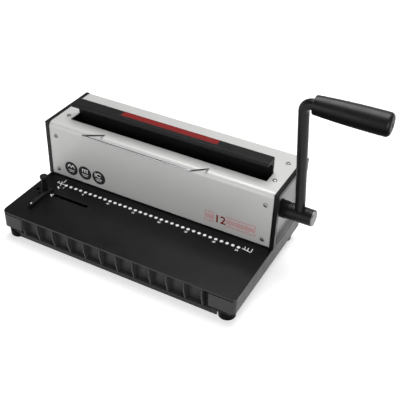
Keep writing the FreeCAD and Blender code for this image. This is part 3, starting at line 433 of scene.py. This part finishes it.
white_ink = ink("white_ink", (0.93, 0.93, 0.93))
grey_ink = ink("grey_ink", (0.6, 0.6, 0.6))
black_ink = ink("black_ink", (0.006, 0.006, 0.006))
red_ink = ink("red_ink", (0.5, 0.05, 0.05))
dark_red_ink = ink("dark_red_ink", (0.17, 0.008, 0.008), (0.55, 0.7), 0.15)
print("inks:", [m.name for m in (white_ink, grey_ink, black_ink, red_ink, dark_red_ink)])

# %% [markdown]
# ## Thin plates for print
# A printed mark is a flat outline with hardly any thickness.
# We draw each outline in the plane of its face, as (across, up) points, and give it a twentieth of
# a millimetre, so that it catches the light at its rim and never flickers against the sheet.

# %% Helpers for printed marks
PRINT_THICKNESS = 0.05 * MM


def on_table(u, v, w):
    """A point on the paper table: u along the holes, v away from the operator."""
    return Vector((u, v, table_z + w))


def on_front(u, v, w):
    """A point on the front sheet: u along the holes, v upwards."""
    return Vector((u, front_y - w, v))


def on_bar(u, v, w):
    """A point on top of the closing bar."""
    return Vector((u, v, bar_top_z + w))


def round_outline(u, v, radius, count=28):
    """A circle as a list of points."""
    angles = [2 * math.pi * i / count for i in range(count)]
    return [(u + radius * math.cos(a), v + radius * math.sin(a)) for a in angles]


def bar_outline(u0, v0, u1, v1, width):
    """A straight stroke from one point to another."""
    along = Vector((u1 - u0, v1 - v0)).normalized() * (width / 2)
    return [(u0 - along.y, v0 + along.x), (u0 + along.y, v0 - along.x),
            (u1 + along.y, v1 - along.x), (u1 - along.y, v1 + along.x)]


def printed(name, outlines, place, material, body, low=0.0):
    """One piece of ink from several outlines; low lifts it off its face."""
    shape = bmesh.new()
    for outline in outlines:
        under = [shape.verts.new(place(u, v, low)) for u, v in outline]
        over = [shape.verts.new(place(u, v, low + PRINT_THICKNESS)) for u, v in outline]
        shape.faces.new(over)
        shape.faces.new(reversed(under))
        for i in range(len(outline)):
            shape.faces.new((under[i - 1], under[i], over[i], over[i - 1]))
    bmesh.ops.recalc_face_normals(shape, faces=shape.faces)
    mesh = bpy.data.meshes.new(name)
    shape.to_mesh(mesh)
    shape.free()
    mesh.materials.append(material)
    made = bpy.data.objects.new(name, mesh)
    bpy.context.scene.collection.objects.link(made)
    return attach(made, body)


print("ready to print")

# %% [markdown]
# ## The scale on the table
# 34 white dots stand in front of the punch, one for each hole, three to the inch.
# Short strokes beyond both ends show where the sheet ends, and small numbers count the holes.

# %% Dots, strokes and numbers
hole_count = 34
pitch = 25.4 / 3 * MM
dot_x = [(i - (hole_count - 1) / 2) * pitch for i in range(hole_count)]
dot_y = -13.6 * MM
dot_r = 2.4 * MM
printed("hole_marks", [round_outline(x, dot_y, dot_r) for x in dot_x], on_table, white_ink,
        "machine_body")

edge_stroke_width = 1.1 * MM
edge_strokes = [  # from (x, y) to (x, y), in millimetres
    (-155.9, -13.3, -142.6, -13.3), (-154.7, -12.6, -154.9, -9.0),
    (-147.0, -18.4, -148.6, -14.0), (-149.1, -12.6, -150.8, -8.0), (-147.3, -9.7, -148.0, -1.9),
    (144.5, -13.2, 157.9, -15.3), (148.4, -13.1, 147.1, -8.0), (152.7, -13.8, 152.1, -8.0),
    (158.1, -14.6, 157.6, -7.4),
]
edge_marks = [bar_outline(*(c * MM for c in ends), edge_stroke_width) for ends in edge_strokes]
edge_marks.append([(-150.0 * MM, -21.7 * MM), (-144.3 * MM, -26.3 * MM),
                   (-145.4 * MM, -21.9 * MM)])
printed("edge_marks", edge_marks, on_table, white_ink, "machine_body")
pointer_halves = [
    [(-146.4 * MM, -43.5 * MM), (-141.2 * MM, -47 * MM), (-142.6 * MM, -43.5 * MM)],
    [(-146.4 * MM, -43.1 * MM), (-142.6 * MM, -43.1 * MM), (-141.2 * MM, -39.6 * MM)],
]
printed("guide_pointer", pointer_halves, on_table, grey_ink, "machine_body")


DIGIT_EXTRUDE = 0.00003


def number_mesh(text, height, place, flip, bold):
    """Flat digits from the built-in font, set out on a face; bold moves their outline outwards."""
    words = bpy.data.curves.new("digits", "FONT")
    words.body = text
    words.size = height * 1.4
    words.align_x = "CENTER"
    words.extrude = DIGIT_EXTRUDE
    words.offset = bold
    words.resolution_u = 4
    holder = bpy.data.objects.new("digits", words)
    bpy.context.scene.collection.objects.link(holder)
    depsgraph = bpy.context.evaluated_depsgraph_get()
    mesh = bpy.data.meshes.new_from_object(holder.evaluated_get(depsgraph))
    bpy.data.objects.remove(holder)
    bpy.data.curves.remove(words)
    mesh.transform(Matrix.Translation(place) @ Matrix.Rotation(flip, 4, "X"))
    return mesh


def numbers(name, entries, material, flip, bold):
    """Several numbers as one piece; entries are (text, height, place), flip turns them about X."""
    shape = bmesh.new()
    for text, height, place in entries:
        digits = number_mesh(text, height, place, flip, bold)
        shape.from_mesh(digits)
        bpy.data.meshes.remove(digits)
    mesh = bpy.data.meshes.new(name)
    shape.to_mesh(mesh)
    shape.free()
    mesh.materials.append(material)
    made = bpy.data.objects.new(name, mesh)
    bpy.context.scene.collection.objects.link(made)
    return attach(made, "machine_body")


counted = [1, 5, 10, 15, 20, 25, 30, 34]
counts = [(str(n), 3.2 * MM, (dot_x[n - 1], -21.6 * MM, table_z)) for n in counted]
numbers("hole_numbers", counts, white_ink, 0, 0.12 * MM)
print("dots:", len(dot_x), "numbers:", counted)

# %% [markdown]
# ## Badges on the front sheet
# Three black discs tell what the machine does. They hold plain line drawings here: an open book, a
# comb of wire, and a ring of wire, each above two fine lines.
# The strokes lie on the discs, a twentieth of a millimetre higher.

# %% Three round badges
badge_z = 55 * MM
badge_x = [-142 * MM, -118 * MM, -94 * MM]
badge_r = 11.2 * MM
printed("badge_discs", [round_outline(x, badge_z, badge_r, 48) for x in badge_x], on_front,
        black_ink, "machine_body")


def strokes(middle, points, width=1.2):
    """Strokes from point to point, in millimetres from the middle of a badge."""
    placed = [(middle + x * MM, badge_z + z * MM) for x, z in points]
    return [bar_outline(*start, *end, width * MM) for start, end in zip(placed, placed[1:])]


book = strokes(badge_x[0], [(-6, 1.5), (-3, 6.5), (0, 1.5), (3, 6.5), (6, 1.5)])
comb = strokes(badge_x[1], [(-5, 5.5), (5, 5.5)])
for x in (-4, 0, 4):
    comb += strokes(badge_x[1], [(x, 5.5), (x, 0.5)])
ring = strokes(badge_x[2], [(4 * math.cos(0.4 * i), 3.5 + 3 * math.sin(0.4 * i))
                            for i in range(1, 15)])
ring += strokes(badge_x[2], [(-6, 7), (-6, 0.5)])
lines = []
for middle in badge_x:
    for half_length, z in ((5.5, -2.8), (4, -5.4)):
        lines += strokes(middle, [(-half_length, z), (half_length, z)], 0.8)
printed("badge_drawings", book + comb + ring + lines, on_front, white_ink, "machine_body",
        low=PRINT_THICKNESS)
print("badges:", len(badge_x))

# %% [markdown]
# ## The red gauge
# At the lower right a red print shows how thick a stack may be.
# Here it is a plain gauge: rows of ticks, three lines and one number, drawn from the same strokes.

# %% Gauge on the front sheet
gauge_left, gauge_right = 79 * MM, 154 * MM
gauge_low, gauge_high = 47 * MM, 64.5 * MM
number_left, number_right = 93 * MM, 111 * MM
number_middle = 102 * MM
tick_steps = 30
ticks = []
for i in range(tick_steps + 1):
    x = gauge_left + (gauge_right - gauge_left) * i / tick_steps
    tall = 4.6 * MM if i % 5 == 0 else 2.6 * MM
    if not number_left < x < number_right:
        ticks.append(bar_outline(x, gauge_high - tall, x, gauge_high, 0.7 * MM))
        ticks.append(bar_outline(x, gauge_low, x, gauge_low + tall, 0.7 * MM))
levels = [bar_outline(x0, gauge_low + d * MM, x1, gauge_low + d * MM, 0.8 * MM)
          for x0, x1 in ((gauge_left, number_left), (number_right, gauge_right))
          for d in (6.6, 8.9, 11.2)]
printed("thickness_gauge", ticks + levels, on_front, red_ink, "machine_body")
numbers("gauge_number", [("12", 12.5 * MM, (number_middle, front_y, gauge_low + 2.6 * MM))],
        dark_red_ink, math.pi / 2, 0.4 * MM)
print("gauge ticks:", len(ticks))

# %% [markdown]
# ## The stripe on the closing bar
# A dark red strip lies on the rear half of the bar, where the operator's eye falls while pressing.
# It lies in the middle of the bar's length, and its ends are cut square.

# %% Red stripe
stripe_front = bar_rear_y - 12.4 * MM
stripe_rear = bar_rear_y - 0.8 * MM
stripe_half = 75 * MM
stripe = [(-stripe_half, stripe_front), (stripe_half, stripe_front), (stripe_half, stripe_rear),
          (-stripe_half, stripe_rear)]
printed("bar_stripe", [stripe], on_bar, dark_red_ink, "closer")
print("stripe length", round(stripe[1][0] - stripe[0][0], 3))

# %% [markdown]
# ## Turned shapes
# Screws and knobs are made on a lathe, and we can do the same: half a profile, given as (radius,
# height) points, goes round an axis.
# A wavy radius gives the flutes that fingers need.

# %% Helper that turns a profile
def turned(shape, profile, steps, flutes=0, bite=0.0, fluted=()):
    """Turns (radius, height) points round Z; radius 0 closes an end.

    The rings listed in fluted get a wavy radius, with as many flutes as asked, bite metres deep.
    """
    rings = []
    for number, (radius, height) in enumerate(profile):
        if radius == 0:
            rings.append([shape.verts.new((0, 0, height))])
            continue
        ring = []
        for i in range(steps):
            angle = 2 * math.pi * i / steps
            wave = bite * (1 - math.cos(flutes * angle)) / 2 if number in fluted else 0
            reach = radius - wave
            ring.append(shape.verts.new((reach * math.cos(angle), reach * math.sin(angle), height)))
        rings.append(ring)
    for lower, upper in zip(rings, rings[1:]):
        for i in range(steps):
            j = (i + 1) % steps
            corners = (lower[i % len(lower)], lower[j % len(lower)],
                       upper[j % len(upper)], upper[i % len(upper)])
            shape.faces.new(list(dict.fromkeys(corners)))


def finished(name, shape, material_slot, body):
    """Turns a bmesh into a smooth-shaded piece that rides on a body."""
    bmesh.ops.recalc_face_normals(shape, faces=shape.faces)
    mesh = bpy.data.meshes.new(name)
    shape.to_mesh(mesh)
    shape.free()
    mesh.shade_smooth()
    mesh.set_sharp_from_angle(angle=math.radians(35))
    mesh.materials.append(finishes[material_slot])
    made = bpy.data.objects.new(name, mesh)
    bpy.context.scene.collection.objects.link(made)
    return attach(made, body)


print("lathe ready")

# %% [markdown]
# ## Where each screw sits
# One node of the solid model may hold several screws.
# We weld its mesh, walk along its edges from vertex to vertex, and take the box of each separate
# island.

# %% Helper that finds the solids of a node
WELD_REACH = 2 * MICRON


def islands(name):
    """Lowest and highest corner of each separate solid in a node."""
    shape = bmesh.new()
    shape.from_mesh(nodes[name].data)
    bmesh.ops.remove_doubles(shape, verts=shape.verts, dist=WELD_REACH)
    todo = set(shape.verts)
    boxes = []
    while todo:
        front = [todo.pop()]
        found = []
        while front:
            vert = front.pop()
            found.append(vert.co.copy())
            for edge in vert.link_edges:
                other = edge.other_vert(vert)
                if other in todo:
                    todo.remove(other)
                    front.append(other)
        boxes.append((Vector([min(p[i] for p in found) for i in range(3)]),
                      Vector([max(p[i] for p in found) for i in range(3)])))
    shape.free()
    return sorted(boxes, key=lambda pair: tuple(pair[0]))


print("front screws:", len(islands("front_screws")))

# %% [markdown]
# ## Cross recess screws
# The sheets are held by small pan head screws with a cross recess.
# Each one is turned to the size of the plain screw that it replaces, and a boolean cuts the cross
# out of its head.
# The recess is what makes a screw read as a screw, even when it is only a few pixels large.

# %% Screws with a cross in the head
SHANK_R = 1.45 * MM


def screw_mesh(head_r, head_h, shank_r, shank_l):
    """A pan head screw along Z: its head sits on z = 0 and its shank hangs below."""
    shape = bmesh.new()
    dome = [(head_r * math.cos(a), head_h * (0.3 + 0.7 * math.sin(a)))
            for a in (0, 0.35, 0.7, 1.0, 1.3)]
    shank = [(0, -shank_l), (shank_r, -shank_l), (shank_r, 0), (head_r, 0)]
    turned(shape, shank + dome + [(0, head_h)], steps=28)
    bmesh.ops.recalc_face_normals(shape, faces=shape.faces)
    head = bpy.data.meshes.new("screw_head")
    shape.to_mesh(head)
    shape.free()
    shape = bmesh.new()
    lift = Matrix.Translation((0, 0, head_h))
    scale = Matrix.Diagonal((head_r * 1.1, head_r * 0.26, head_h * 1.2, 1))
    for quarter in (0, math.pi / 2):
        arm = bmesh.ops.create_cube(shape, size=1)["verts"]
        matrix = lift @ Matrix.Rotation(quarter, 4, "Z") @ scale
        bmesh.ops.transform(shape, verts=arm, matrix=matrix)
    cutter_mesh = bpy.data.meshes.new("cross")
    shape.to_mesh(cutter_mesh)
    shape.free()
    whole = bpy.data.objects.new("screw_head", head)
    cutter = bpy.data.objects.new("cross", cutter_mesh)
    for thing in (whole, cutter):
        bpy.context.scene.collection.objects.link(thing)
    cut = whole.modifiers.new("cross_recess", "BOOLEAN")
    cut.operation = "DIFFERENCE"
    cut.solver = "EXACT"
    cut.use_self = True
    cut.object = cutter
    depsgraph = bpy.context.evaluated_depsgraph_get()
    mesh = bpy.data.meshes.new_from_object(whole.evaluated_get(depsgraph))
    for thing in (whole, cutter):
        bpy.data.objects.remove(thing)
    return mesh


def screws(name, node_name, axis):
    """Replaces the plain screws of a node by finer ones of the same size."""
    axis = Vector(axis)
    upright = Vector((0, 0, 1)).rotation_difference(axis).to_matrix().to_4x4()
    along = max(range(3), key=lambda i: abs(axis[i]))
    across = (along + 1) % 3
    shape = bmesh.new()
    for number, (low, high) in enumerate(islands(node_name)):
        head_r = (high[across] - low[across]) / 2
        head_h = head_r / 2
        length = high[along] - low[along]
        seat = (low + high) / 2
        seat[along] = (high[along] if axis[along] > 0 else low[along]) - axis[along] * head_h
        mesh = screw_mesh(head_r, head_h, SHANK_R, length - head_h)
        spin = Matrix.Rotation(0.5 + 1.1 * number, 4, "Z")
        mesh.transform(Matrix.Translation(seat) @ upright @ spin)
        shape.from_mesh(mesh)
        bpy.data.meshes.remove(mesh)
    made = finished(name, shape, "screw_steel", "machine_body")
    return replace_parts(made, node_name)


screws("front_sheet_screws", "front_screws", (0, -1, 0))
screws("top_sheet_screws", "top_screws", (0, 0, 1))
screws("rear_sheet_screws", "rear_screws", (0, 1, 0))
print("screws replaced in 3 nodes")

# %% [markdown]
# ## The clamp knob
# The edge guide is held by a black knob with a fluted head on a round neck.
# One profile holds the stud, the neck and the head; only the rings of the head's rim are wavy.

# %% Fluted knob
knob_low, knob_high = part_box("clamp_knob")
knob_middle = (knob_low + knob_high) / 2
knob_r = (knob_high.x - knob_low.x) / 2
knob_top, knob_foot = knob_high.z, knob_low.z
pad_top = table_z + 2.6 * MM
head_low = knob_top - 5.5 * MM
stud = [(0, knob_foot), (2.6 * MM, knob_foot), (3.0 * MM, knob_foot + 0.4 * MM),
        (3.0 * MM, pad_top)]
neck = [(3.9 * MM, pad_top), (4.2 * MM, pad_top + 0.3 * MM), (4.2 * MM, head_low - 0.8 * MM),
        (4.6 * MM, head_low)]
rim = [(knob_r - 0.7 * MM, head_low), (knob_r, head_low + 0.7 * MM), (knob_r, knob_top - 1.2 * MM),
       (knob_r - 0.8 * MM, knob_top - 0.2 * MM)]
dish = [(knob_r - 1.6 * MM, knob_top), (knob_r - 2.4 * MM, knob_top - 0.5 * MM),
        (0, knob_top - 0.5 * MM)]
rim_rings = range(len(stud + neck), len(stud + neck + rim))
knob_shape = bmesh.new()
turned(knob_shape, stud + neck + rim + dish, steps=96, flutes=16, bite=0.7 * MM, fluted=rim_rings)
bmesh.ops.translate(knob_shape, verts=knob_shape.verts, vec=(knob_middle.x, knob_middle.y, 0))
knob = finished("fluted_knob", knob_shape, "black_plastic", "clamp")
knob.data.materials[0] = special["edge_guide"]
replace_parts(knob, "clamp_knob")

guide_low, guide_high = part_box("edge_guide")


def on_guide(u, v, w):
    """A point on top of the edge guide."""
    return Vector((u, v, guide_high.z + w))


# A white dot near the guide's front end is a painted glint, standing in for light shining on a
# small screw head.
guide_painted_glint = round_outline(guide_high.x - 2.5 * MM, guide_low.y + 4 * MM, 1.1 * MM)
printed("guide_painted_glint", [guide_painted_glint], on_guide, white_ink, "edge_stop")
print("knob stands at", tuple(round(c, 4) for c in knob_middle))
